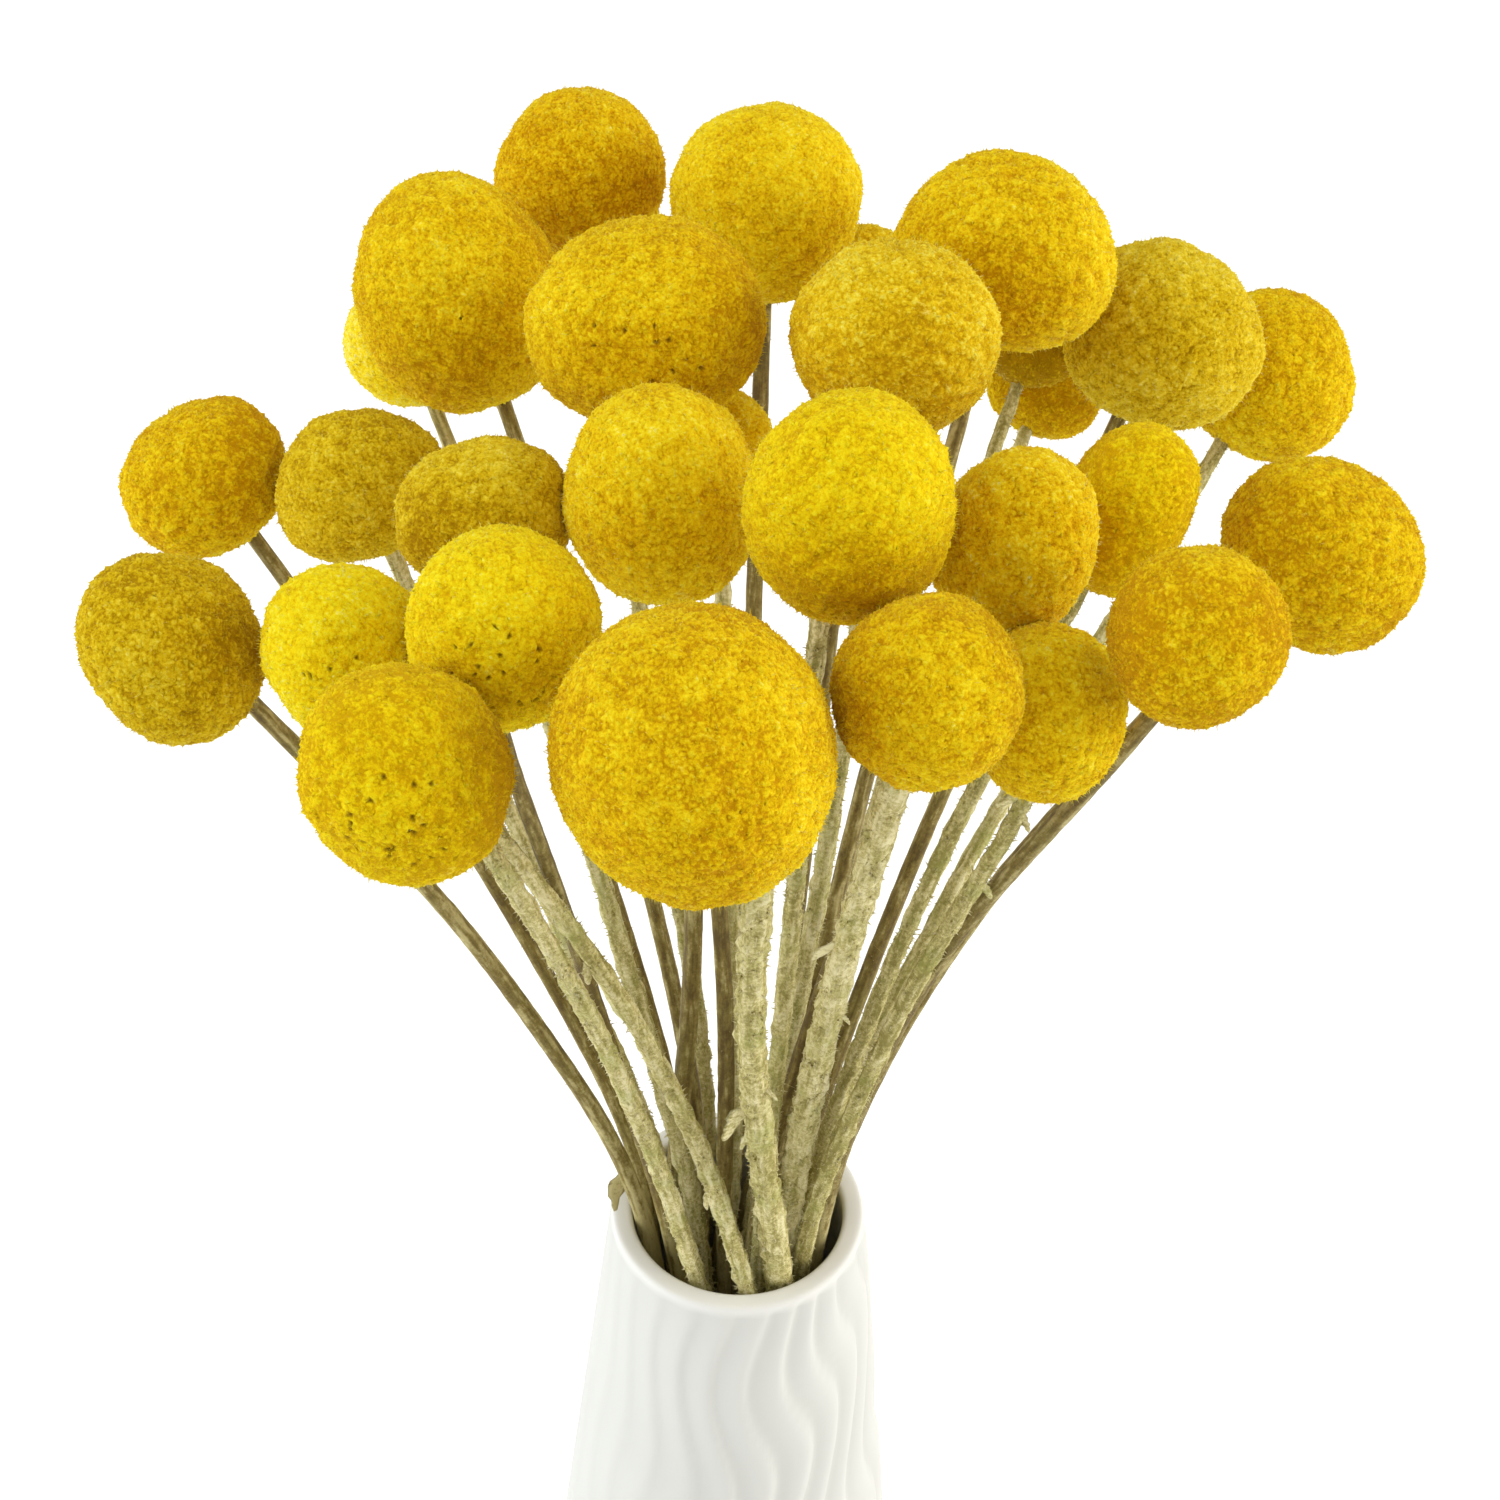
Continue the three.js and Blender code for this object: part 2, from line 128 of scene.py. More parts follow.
# %% [markdown]
# ## Finishes as node trees
#
# A finish is a small network of nodes. Writing out each link makes long scripts, so a helper adds a node,
# sets its values and links its inputs in one line. What is given as another node's output is linked, and
# anything else is set as a plain value.

# %% A helper for node trees
class Finish:
    """A material whose nodes are added one by one."""

    def __init__(self, name, roughness, specular=0.5):
        self.material = bpy.data.materials.new(name)
        self.material.use_nodes = True
        self.nodes = self.material.node_tree.nodes
        self.shader = self.nodes["Principled BSDF"]
        self.shader.inputs["Roughness"].default_value = roughness
        self.shader.inputs["Specular IOR Level"].default_value = specular

    def join(self, socket, value):
        if isinstance(value, bpy.types.NodeSocket):
            self.material.node_tree.links.new(value, socket)
        else:
            socket.default_value = value

    def add(self, kind, inputs, output=0, **settings):
        node = self.nodes.new("ShaderNode" + kind)
        for key, value in settings.items():
            setattr(node, key, value)
        for key, value in inputs.items():
            self.join(node.inputs[key], value)
        return node.outputs[output]

    def place(self):
        return self.add("TexCoord", {}, "Object")

    def read(self, name, output="Fac"):
        return self.add("Attribute", {}, output, attribute_name=name)

    def noise(self, vector, scale, detail=2.0, roughness=0.5):
        inputs = {"Vector": vector, "Scale": scale, "Detail": detail, "Roughness": roughness}
        return self.add("TexNoise", inputs, "Fac")

    def spread(self, value, low, high, new_low=0.0, new_high=1.0):
        return self.add("MapRange", {"Value": value, 1: low, 2: high, 3: new_low, 4: new_high})

    def sum(self, first, *others):
        for other in others:
            first = self.add("Math", {0: first, 1: other}, operation="ADD")
        return first

    def blend(self, factor, a, b):
        return self.add("Mix", {0: factor, 6: a, 7: b}, 2, data_type="RGBA")

    def ramp(self, factor, *stops):
        """Colours along a factor, given as (position, colour)."""
        node = self.nodes.new("ShaderNodeValToRGB")
        elements = node.color_ramp.elements
        while len(elements) < len(stops):
            elements.new(0.5)
        for element, (position, colour) in zip(elements, stops):
            element.position = position
            element.color = (*colour, 1.0)
        self.join(node.inputs[0], factor)
        return node.outputs[0]

    def bump(self, height, strength, distance):
        inputs = {"Height": height, "Strength": strength, "Distance": distance}
        self.join(self.shader.inputs["Normal"], self.add("Bump", inputs))

    def colour(self, value):
        self.join(self.shader.inputs["Base Color"], value)


print("a finish starts from the Principled shader")

# %% [markdown]
# ## The camera
#
# The bunch is seen from the front and from well above, at an angle of 43 degrees, through a longish lens
# that keeps the heads' sizes nearly equal. The camera is rolled by a small angle, so that the vase leans
# a little to the right.

# %% Place the camera
CAMERA_PLACE = (-0.0010, -0.2689, 0.5200)
CAMERA_PITCH = math.radians(-43)
CAMERA_ROLL = math.radians(2.4)
LENS = 72  # mm, on Blender's own 36 mm wide sensor

scene = bpy.context.scene
camera = bpy.data.objects.new("camera", bpy.data.cameras.new("camera"))
camera.data.lens = LENS
camera.location = CAMERA_PLACE
looking = Euler((math.pi / 2 + CAMERA_PITCH, 0, 0)).to_matrix() @ Euler((0, 0, CAMERA_ROLL)).to_matrix()
camera.rotation_euler = looking.to_euler()
scene.collection.objects.link(camera)
scene.camera = camera
print("the camera stands", round(camera.location.length, 3), "m from the origin")

# %% [markdown]
# ## The light
#
# A white studio wraps the bunch in light from all sides, so that what shade there is lies between the
# heads and under them. The world gives half of that light. The rest comes from two wide lamps, a cool one
# at the left and a warm one at the right. They brighten the balls' outer sides and leave the sides that
# face the middle of the bunch in soft shade. A weak lamp above lifts the tops a little.

# %% Light the studio
WORLD_STRENGTH = 0.65
LAMPS = {
    "lamp_above": {"place": (0.2, -0.2, 1.7), "size": 1.4, "power": 5.0, "colour": (1.0, 1.0, 1.0)},
    "lamp_left": {"place": (-1.4, -0.15, 0.8), "size": 1.2, "power": 14.0, "colour": (0.95, 0.99, 1.0)},
    "lamp_right": {"place": (1.4, -0.05, 0.8), "size": 1.2, "power": 14.5, "colour": (1.0, 0.97, 0.88)},
}
AIM = Vector((0, 0, 0.26))


def add_lamp(name, place, size, power, colour):
    """Adds a square lamp that is turned to the bunch."""
    lamp = bpy.data.objects.new(name, bpy.data.lights.new(name, "AREA"))
    lamp.data.size = size
    lamp.data.energy = power
    lamp.data.color = colour
    lamp.location = place
    lamp.rotation_euler = (AIM - lamp.location).to_track_quat("-Z", "Y").to_euler()
    scene.collection.objects.link(lamp)


scene.world = bpy.data.worlds.new("studio")
scene.world.use_nodes = True
scene.world.node_tree.nodes["Background"].inputs["Color"].default_value = (1, 1, 1, 1)
scene.world.node_tree.nodes["Background"].inputs["Strength"].default_value = WORLD_STRENGTH
for name, lamp in LAMPS.items():
    add_lamp(name, **lamp)
scene.view_settings.view_transform = "Standard"
print("lamps:", ", ".join(LAMPS))

# %% [markdown]
# ## The floor
#
# The floor is one wide round sheet of white card, so large that its edge never shows. Its finish has
# the faintest mottling of matt card. The card glows a little, as if it lay on a light table, so that
# it stays white far from the lamps.

# %% Lay the floor
FLOOR_RADIUS = 4.0
FLOOR_SIDES = 96
GLOW = 0.14

card = Finish("white_card", roughness=0.9, specular=0.1)
mottle = card.noise(card.place(), 14.0)
card.colour(card.ramp(mottle, (0.3, (0.93, 0.93, 0.93)), (0.7, (0.95, 0.95, 0.95))))
card.shader.inputs["Emission Color"].default_value = (1, 1, 1, 1)
card.shader.inputs["Emission Strength"].default_value = GLOW

turns = np.linspace(0, 2 * np.pi, FLOOR_SIDES, endpoint=False)
rim = np.stack([FLOOR_RADIUS * np.cos(turns), FLOOR_RADIUS * np.sin(turns), 0 * turns], axis=1)
floor = make_piece("floor", rim, [list(range(FLOOR_SIDES))], card.material)
print("the floor is", 2 * FLOOR_RADIUS, "m across")

# %% [markdown]
# ## The form of a head
#
# No two heads are alike. Some are round, some flat on top or drawn out, and all of them swell unevenly.
# The plain model has this form in a few large florets, so it is measured from their peaks.
#
# From the middle of the head, the surface's distance is a smooth function of the direction. A sum of
# products such as x*x, x*y or y*y*z describes such a function well, and the least squares method finds
# how much of each product fits the peaks best.

# %% Measure the heads
CORE = 0.8  # points nearer the middle than this share of the usual reach belong to the stalk's socket
PEAK = 0.15 * MM  # a point this far outside of the average surface is a peak


def form_terms(directions):
    """The products of two and of three of x, y and z, for each direction."""
    x, y, z = directions.T
    powers = [(i, j, n - i - j) for n in (2, 3) for i in range(n + 1) for j in range(n + 1 - i)]
    return np.stack([x**i * y**j * z**k for i, j, k in powers], axis=1)


def measure_head(node):
    """The middle of a head, the weights of the terms that give its reach, and its usual reach."""
    points = np.unique(frame_mesh(node)[0].round(7), axis=0)
    middle = (points.min(axis=0) + points.max(axis=0)) / 2
    reach = np.linalg.norm(points - middle, axis=1)
    outer = reach > CORE * np.median(reach)
    reach = reach[outer]
    terms = form_terms((points[outer] - middle) / reach[:, None])
    average = np.linalg.lstsq(terms, reach, rcond=None)[0]
    peaks = reach - terms @ average > PEAK
    form = np.linalg.lstsq(terms[peaks], reach[peaks], rcond=None)[0]
    return middle, form, reach[peaks].mean()


heads = {node: measure_head(node) for node in frame["nodes"] if node.startswith("head_")}
print("measured", len(heads), "heads")

# %% [markdown]
# ## Grains all over the head
#
# Close up, a head is covered with soft grains, each the tip of one floret, and between them lie thin dark
# furrows. Hair particles would be the quick way to make them, but a model that is used elsewhere needs
# real faces. So each grain is a low pyramid in one closed mesh.
#
# The grains' middles are spread over a globe in a golden spiral, the way seeds lie in a sunflower, and
# nudged by chance. Blender's convex hull joins each of them to its neighbours. The furrow runs through
# the middles of the hull's triangles, and every edge of the hull becomes two faces: one on each side,
# from the furrow up to a peak.

# %% Spread the grains
GRAIN = 0.72 * MM  # from the middle of one grain to the next
NUDGE = 0.45  # how far a grain is moved by chance at most, as a share of their distance


def spiral(count):
    """Directions spread evenly over a globe."""
    k = np.arange(count)
    z = 1 - (2 * k + 1) / count
    r = np.sqrt(1 - z * z)
    turn = k * np.pi * (3 - np.sqrt(5))
    return np.stack([r * np.cos(turn), r * np.sin(turn), z], axis=1)


def scattered(gap, reach, rng):
    """Directions that are a gap apart on a head, but for chance."""
    count = int(4 * np.pi * reach**2 / (0.866 * gap**2))
    return unit(spiral(count) + rng.uniform(-1, 1, (count, 3)) * NUDGE * gap / reach)


def neighbours(directions):
    """The triangles between neighbouring directions, as three of their numbers each."""
    shell = bmesh.new()
    for direction in directions:
        shell.verts.new(direction)
    bmesh.ops.convex_hull(shell, input=shell.verts)
    shell.verts.index_update()
    triangles = np.array([[corner.index for corner in face.verts] for face in shell.faces])
    shell.free()
    a, b, c = (directions[triangles[:, corner]] for corner in range(3))
    inward = np.einsum("ij,ij->i", np.cross(b - a, c - a), a) < 0
    triangles[inward] = triangles[inward][:, ::-1]
    return triangles


def pyramids(triangles, count):
    """Faces from each furrow up to the peaks on both of its sides. Furrow t has the number count + t."""
    start = triangles.ravel()
    end = triangles[:, [1, 2, 0]].ravel()
    furrow = count + np.repeat(np.arange(len(triangles)), 3)
    edge = start * count + end
    order = np.argsort(edge)
    opposite = furrow[order[np.searchsorted(edge[order], end * count + start)]]
    return np.stack([start, opposite, furrow], axis=1)


trial = scattered(1 * MM, 10 * MM, np.random.default_rng(0))
print(len(trial), "grains make", len(pyramids(neighbours(trial), len(trial))), "faces")

# %% [markdown]
# ## Relief and chance
#
# The grains aren't all as high. The whole surface swells and sinks by a few tenths of a millimetre, in
# knobs and in wide lumps, and on some heads the florets grow in clusters, which look knitted.
#
# Swells are added up from a few waves that run through the head in chance directions. Clusters are small
# domes round scattered middles.

# %% Helpers for the relief
def swells(points, length, rng, waves=20):
    """Smooth chance numbers, about 1 in size, whose tops are a length apart."""
    ahead = unit(rng.normal(size=(waves, 3))) * rng.uniform(0.7, 1.4, (waves, 1))
    phase = rng.uniform(0, 2 * np.pi, waves)
    return np.cos(points @ (2 * np.pi / length * ahead).T + phase).sum(axis=1) * np.sqrt(2 / waves)


CLUSTER = 1.45 * MM  # from one cluster to the next
DOME = 0.6  # a cluster's radius, as a share of that


def clusters(directions, reach, rng):
    """1 in the middle of a cluster and 0 at its edge, for each direction."""
    middles = scattered(CLUSTER, reach, rng).astype(np.float32)
    nearest = (directions.astype(np.float32) @ middles.T).max(axis=1)
    away = np.sqrt(np.maximum(0, 2 - 2 * nearest)) * reach / (DOME * CLUSTER)
    return np.clip(1 - away**2, 0, 1)


def crowding(points, directions, node):
    """How much of its sky the other heads hide from each point, from 0 to 1."""
    hidden = np.zeros(len(points))
    for other, (middle, _, size) in heads.items():
        if other != node:
            away = middle - points
            distance = np.linalg.norm(away, axis=1)
            facing = np.einsum("ij,ij->i", away, directions) / distance
            hidden += np.clip(size / distance, 0, 1) ** 2 * np.clip(facing, 0, 1)
    return np.clip(hidden, 0, 1)


print("a cluster is", round(CLUSTER / GRAIN, 1), "grains wide")

# %% [markdown]
# ## One head
#
# Five numbers are kept for each point, for the finish to read. The bloom is near 0 in a furrow and near 1
# on a peak, and so paints shade into the furrows. `chance` differs from grain to grain. `crowd` says how much
# of the sky the other heads hide, and the finish paints shade from it: darker and more orange where it is
# high, as light that has bounced from floret to floret would be, and a little lighter where it is low.
# `under` grows towards the underside, where the woolly leaves below the florets show. `pit` is 1 where a
# floret has dropped out and left a small pit, as on the front of four heads; the finish paints it dark brown
# as painted shade.
#
# Fine hairs blur a head's outline. Each is a spike with three sides, whose foot stands in the surface.
#
# Two heads of one colour still differ. One table says how high the bloom is on peaks and in furrows, and
# how much each part of the relief changes it. Another raises or lowers a head's bloom a little everywhere:
# partly the head's own tone, and partly painted light and shade, which lifts the heads deep in the bunch,
# such as 7, 13 and 14, and darkens the open heads at the front, such as 25 and 29, and head 11, which lies
# in shade.

# %% Set the sizes of a head's relief
RELIEF = 0.22 * MM  # from a furrow up to a peak
DEPTHS = (0.6, 1.2)  # how deep the furrows are, as a share of the relief
FURROW_NUDGE = 0.25  # how far a furrow is moved by chance at most, as a share of the grains' distance
UNEVEN = 0.06 * MM
KNOB = 0.065 * MM
KNOB_LENGTH = 2.1 * MM
LUMP = 0.12 * MM
LUMP_LENGTH = 8.0 * MM
CLUSTER_DEPTH = 0.05 * MM
KNITTED_DEPTH = 0.20 * MM
KNITTED = ("head_03", "head_04", "head_05", "head_09", "head_16", "head_21", "head_22")
PITS = {"head_08": 16, "head_23": 7, "head_24": 26, "head_25": 20}
PIT_DEPTH = 0.35 * MM
PIT_SIDE = np.array([0.0, -0.98, 0.2])  # the pits lie round this direction
PIT_SPREAD = 0.84  # cosine of the angle from there to the farthest pit
HAIR_GAP = 1.25 * MM  # from one hair to the next
HAIR_WIDTH = 0.05 * MM
HAIR_ROOT = 0.1 * MM  # how deep a hair's foot stands
HAIR_LENGTHS = (0.25, 0.75)  # mm
HAIR_LEAN = 0.5
# the relief paints shade: furrows and the creases round clusters are painted darker and more orange the
# deeper they lie, and knobs lighter
BLOOM_AND_SHADE = {"peak": 0.68, "furrow": 0.6, "rise": 0.08, "sink": 0.3, "knob": 0.08, "cluster": 0.9}
HAIR_BLOOM = [0.7, 0.7, 0.7, 1.6]  # of the three points of a hair's foot and of its tip
# painted light and shade, partly each head's own tone: heads deep in the bunch are painted lighter, open
# heads at the front darker, and head 11, deep in shade, much darker
TONE_AND_PAINTED_LIGHT = {
    "head_01": 0.04, "head_02": 0.15, "head_03": 0.05, "head_04": 0.20, "head_07": 0.46, "head_13": 0.26,
    "head_14": 0.20, "head_19": 0.24, "head_23": 0.14, "head_24": 0.10, "head_28": 0.04, "head_11": -0.50,
    "head_12": -0.08, "head_15": -0.04, "head_20": -0.24, "head_21": -0.05, "head_25": -0.22,
    "head_26": -0.08, "head_27": -0.08, "head_29": -0.22,
}
print(sum(PITS.values()), "pits lie on", len(PITS), "heads")

# %% Make a head's mesh
def spikes(roots, tips, width, rng):
    """The points and faces of thin spikes with three sides and a foot."""
    ahead = unit(tips - roots)
    side = unit(np.cross(ahead, rng.normal(size=ahead.shape)))
    through = np.cross(ahead, side)
    turns = 2 * np.pi / 3 * np.arange(3)
    corners = [roots + width * (side * np.cos(turn) + through * np.sin(turn)) for turn in turns]
    points = np.stack([*corners, tips], axis=1).reshape(-1, 3)
    first = 4 * np.arange(len(roots))[:, None, None]
    return points, (first + np.array([[0, 2, 1], [0, 1, 3], [1, 2, 3], [2, 0, 3]])).reshape(-1, 3)


def pits(node, furrows, rng):
    """1 for a few furrows on the front of a pitted head, and 0 for all others."""
    front = np.flatnonzero(furrows @ PIT_SIDE > PIT_SPREAD)
    pitted = np.zeros(len(furrows))
    pitted[rng.choice(front, PITS.get(node, 0), replace=False)] = 1
    return pitted


def head_mesh(node, rng):
    """The points and faces of one head, and the numbers that are kept for each point."""
    middle, form, reach = heads[node]
    peaks = scattered(GRAIN, reach, rng)
    triangles = neighbours(peaks)
    nudge = rng.uniform(-1, 1, (len(triangles), 3)) * FURROW_NUDGE * GRAIN / reach
    furrows = unit(peaks[triangles].sum(axis=1) + nudge)
    directions = np.concatenate([peaks, furrows])
    surface = middle + directions * (form_terms(directions) @ form)[:, None]

    knobs = swells(surface, KNOB_LENGTH, rng)
    depth = KNITTED_DEPTH if node in KNITTED else CLUSTER_DEPTH
    dome = clusters(directions, reach, rng) - 1
    rise = rng.normal(0, UNEVEN, len(peaks))
    pitted = pits(node, furrows, rng)
    sink = RELIEF * rng.uniform(*DEPTHS, len(furrows)) + PIT_DEPTH * pitted
    lift = np.concatenate([rise, -sink]) + KNOB * knobs + LUMP * swells(surface, LUMP_LENGTH, rng)
    points = surface + directions * (lift + depth * dome)[:, None]
    # painted shade: the colour level follows the relief, lower in deeper furrows and at the clusters' edges
    on_peaks = BLOOM_AND_SHADE["peak"] + rise / UNEVEN * BLOOM_AND_SHADE["rise"]
    in_furrows = BLOOM_AND_SHADE["furrow"] - BLOOM_AND_SHADE["sink"] * sink / RELIEF
    bloom_and_shade = np.concatenate([on_peaks, in_furrows])
    bloom_and_shade += BLOOM_AND_SHADE["knob"] * knobs + BLOOM_AND_SHADE["cluster"] * dome * depth / MM
    chance = np.concatenate([rng.random(len(peaks)), np.full(len(furrows), 0.5)])
    faces = pyramids(triangles, len(peaks))

    at = rng.permutation(len(peaks))[:int(len(peaks) * (GRAIN / HAIR_GAP) ** 2)]
    lean = directions[at] + HAIR_LEAN * rng.normal(size=(len(at), 3))
    tips = points[at] + unit(lean) * rng.uniform(*HAIR_LENGTHS, (len(at), 1)) * MM
    hair_points, hair_faces = spikes(points[at] - HAIR_ROOT * directions[at], tips, HAIR_WIDTH, rng)
    faces = np.concatenate([faces, hair_faces + len(points)])
    points = np.concatenate([points, hair_points])
    directions = np.concatenate([directions, np.repeat(directions[at], 4, axis=0)])
    # each head's own tone, partly painted light and shade, is added to the colour level here
    return points, faces, {
        "bloom_and_shade": np.concatenate([bloom_and_shade, np.tile(HAIR_BLOOM, len(at))]) + TONE_AND_PAINTED_LIGHT.get(node, 0.0),
        "chance": np.concatenate([chance, np.full(4 * len(at), 0.5)]),
        "crowd": crowding(points, directions, node),
        "under": np.clip(-directions[:, 2], 0, 1),
        "pit": np.concatenate([np.zeros(len(peaks)), pitted, np.zeros(4 * len(at))]),
    }


points, faces, marks = head_mesh("head_26", np.random.default_rng(26))
print("the largest head has", len(faces), "faces, and keeps", ", ".join(marks))

# %% [markdown]
# ## The colour of dried florets
#
# The tips are painted bright, and the furrows between them are painted orange and brown: painted shade that
# follows the relief. Where the surface turns away from the eye only tips show, so a head looks paler at its
# edge, all by itself, because the colour follows the relief.
#
# The bunch has five colours, from fresh lemon to brownish mustard. Each is a ramp from the furrow's colour
# over the body's to the tip's, which ends in the pale yellow of the hairs. Slow noise shifts it from side
# to side of a head, and fine noise adds the grain that is too small for faces.
#
# Two colours are laid over the ramp. One is a pale down, in ragged patches that are thickest on the
# underside and on the mustard and pale heads. The other is a dark brown, painted into the pits as shade.

# %% Mix the finishes of the heads
FLORETS = {
    "florets_lemon": {"deep": (0.64, 0.37, 0.002), "body": (0.87, 0.62, 0.004), "tip": (0.95, 0.80, 0.015)},
    "florets_golden": {"deep": (0.56, 0.28, 0.002), "body": (0.82, 0.54, 0.004), "tip": (0.94, 0.75, 0.018)},
    "florets_amber": {"deep": (0.50, 0.22, 0.001), "body": (0.76, 0.46, 0.003), "tip": (0.90, 0.68, 0.015)},
    "florets_mustard": {"deep": (0.42, 0.23, 0.002), "body": (0.70, 0.47, 0.006), "tip": (0.85, 0.66, 0.040)},
    "florets_pale": {"deep": (0.56, 0.31, 0.003), "body": (0.81, 0.55, 0.008), "tip": (0.92, 0.78, 0.080)},
}
DOWNY = {"florets_mustard": 0.5, "florets_pale": 0.8}  # how thick the pale down is at most
LEAST_DOWNY = 0.35  # the same for the other colours
DOWN = (0.92, 0.80, 0.25)
HAIR = (0.97, 0.86, 0.30)
# painted shade: the dark brown painted into the pits
PIT_SHADE = (0.22, 0.13, 0.010)


def floret_finish(name, deep, body, tip):
    finish = Finish(name, roughness=1.0, specular=0.03)
    place = finish.place()
    wool = finish.noise(place, 2000.0, 4.0, 0.75)
    slow = finish.sum(
        finish.spread(finish.noise(place, 85.0, 3.0), 0.3, 0.7, -0.20, 0.20),
        finish.spread(finish.noise(place, 450.0, 2.0), 0.3, 0.7, -0.13, 0.13))
    fine = finish.spread(wool, 0.35, 0.65, -0.41, 0.41)
    grain = finish.spread(finish.read("chance"), 0.0, 1.0, -0.08, 0.08)
    # painted shade from how much sky other heads hide: darker and more orange where they crowd, a touch
    # lighter in the open
    painted_shade = finish.spread(finish.read("crowd"), 0.05, 0.5, 0.04, -0.10)
    height = finish.sum(finish.read("bloom_and_shade"), slow, fine, grain, painted_shade)
    level = finish.spread(height, 0.0, 1.6)
    florets = finish.ramp(level, (0.0, deep), (0.31, body), (0.62, tip), (1.0, HAIR))
    under = finish.spread(finish.read("under"), 0.2, 1.0, 0.0, 0.16)
    patches = finish.sum(finish.noise(place, 500.0, 6.0, 0.8), under)
    down = finish.spread(patches, 0.62, 0.78, 0.0, DOWNY.get(name, LEAST_DOWNY))
    downy = finish.blend(down, florets, (*DOWN, 1.0))
    # the pits are painted dark brown as painted shade
    finish.colour(finish.blend(finish.read("pit"), downy, (*PIT_SHADE, 1.0)))
    finish.bump(wool, 1.0, 0.3 * MM)
    finish.shader.inputs["Sheen Weight"].default_value = 0.08
    finish.shader.inputs["Sheen Roughness"].default_value = 0.3
    finish.shader.inputs["Sheen Tint"].default_value = (1.0, 0.92, 0.35, 1.0)
    return finish.material


finishes = {name: floret_finish(name, **colours) for name, colours in FLORETS.items()}
print("mixed", ", ".join(finishes))

# %% Make all the heads
for node in heads:
    number = node.split("_")[1]
    points, faces, marks = head_mesh(node, np.random.default_rng(int(number)))
    florets = make_piece(f"florets_{number}", points, faces, finishes[finish_of[node]])
    for name, values in marks.items():
        mark(florets, name, values)
    stand_for(florets, node)
print("the heads have", triangle_count, "triangles")

# %% [markdown]
# ## The route of a stalk
#
# A stalk's middle line is found by cutting the plain rod level at many heights. The middle of each cut is
# a point of the line. The rod's few bends are evened out afterwards, because a dry stalk is one easy curve.

# %% Measure a stalk
CUTS = 160
TOP_MARGIN = 3.5 * MM  # above this the cuts run through the slanting end of the rod
REACH_INTO_HEAD = 3.0 * MM
EVENING = 12  # cuts on each side over which a bend is evened out
NECK_REACH = 8 * MM  # how far from the line's end the rod's points belong to its neck


def level_cuts(node):
    """The middle of the rod at each of many heights."""
    points, triangles = frame_mesh(node)
    start = points[triangles.ravel()]
    end = points[triangles[:, [1, 2, 0]].ravel()]
    middles = []
    for height in np.linspace(points[:, 2].min() + 0.1 * MM, points[:, 2].max() - TOP_MARGIN, CUTS):
        crossing = (start[:, 2] - height) * (end[:, 2] - height) < 0
        a, b = start[crossing], end[crossing]
        share = (height - a[:, 2]) / (b[:, 2] - a[:, 2])
        cut = a + (b - a) * share[:, None]
        middles.append((cut.min(axis=0) + cut.max(axis=0)) / 2)
    return np.array(middles)


def even_out(line, reach):
    """Averages each point with its neighbours on both sides. The ends keep their place and direction."""
    before = 2 * line[0] - line[reach:0:-1]
    after = 2 * line[-1] - line[-2:-reach - 2:-1]
    padded = np.concatenate([before, line, after])
    window = np.hanning(2 * reach + 3)[1:-1]
    window /= window.sum()
    return np.stack([np.convolve(padded[:, axis], window, "valid") for axis in range(3)], axis=1)


def stalk_radii(node, line):
    """The rod's radius at its foot and at its neck."""
    points = frame_mesh(node)[0]
    foot = points[points[:, 2] < points[:, 2].min() + 0.01 * MM]
    ahead = unit(line[-1] - line[-6])
    from_end = points[np.linalg.norm(points - line[-1], axis=1) < NECK_REACH] - line[-1]
    neck = np.linalg.norm(from_end - (from_end @ ahead)[:, None] * ahead, axis=1)
    return np.linalg.norm(foot - foot.mean(axis=0), axis=1).max(), np.median(neck)


# %% [markdown]
# Deep in the vase nothing shows, so the rings of the mesh can lie far apart there. From a little below
# the vase's mouth upwards they lie close together.

# %% Lay out a stalk's rings
STEP = 1.1 * MM
HIDDEN_STEP = 10 * MM
VASE_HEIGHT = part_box("vase")[1].z
SHOWS_FROM = VASE_HEIGHT - 45 * MM


def stalk_line(node):
    """The middle line of a stalk from its foot to inside its head, and the length and radius along it."""
    line = even_out(level_cuts(node), EVENING)
    foot, neck = stalk_radii(node, line)
    ahead = unit(line[-1] - line[-6])
    line = np.concatenate([line, [line[-1] + ahead * (TOP_MARGIN / ahead[2] + 0.5 * REACH_INTO_HEAD)]])
    length = np.concatenate([[0], np.cumsum(np.linalg.norm(np.diff(line, axis=0), axis=1))])
    shows_from = np.interp(SHOWS_FROM, line[:, 2], length)
    hidden = np.linspace(0, shows_from, int(shows_from / HIDDEN_STEP), endpoint=False)
    stops = np.concatenate([hidden, np.arange(shows_from, length[-1], STEP)])
    line = np.stack([np.interp(stops, length, line[:, axis]) for axis in range(3)], axis=1)
    return line, stops, np.interp(stops, [0, stops[-1]], [foot, neck])


line, stops, radius = stalk_line("stem_26")
print("stalk 26 is", round(stops[-1] / MM), "mm long, and its mesh has", len(stops), "rings")

# %% [markdown]
# ## Ribs and wool
#
# A billy button's stalk has fine ribs along it. Young wool covers some stalks so thickly that they look
# like pale pipe cleaners, and others have lost it and are smooth and brown. Both are tubes swept along
# the middle line. The radius changes round the tube, which makes the ribs, and by chance along it.
#
# On a woolly stalk, short tufts stand out from the surface. They are spikes such as the heads' hairs, but
# wider and shorter, and they lean along the stalk as pressed wool does. Here and there a loose fibre
# stands out much farther. Most tufts are low, because the chance number that sets their height is squared.
# The plain rod is as wide as the stalk with its wool, so the stalk below the wool is made slimmer.
#
# The finish needs streaks along the stalk. So each point keeps its place round the tube and its length
# from the foot, as `strand`, and the length is made short, which draws the noise out.

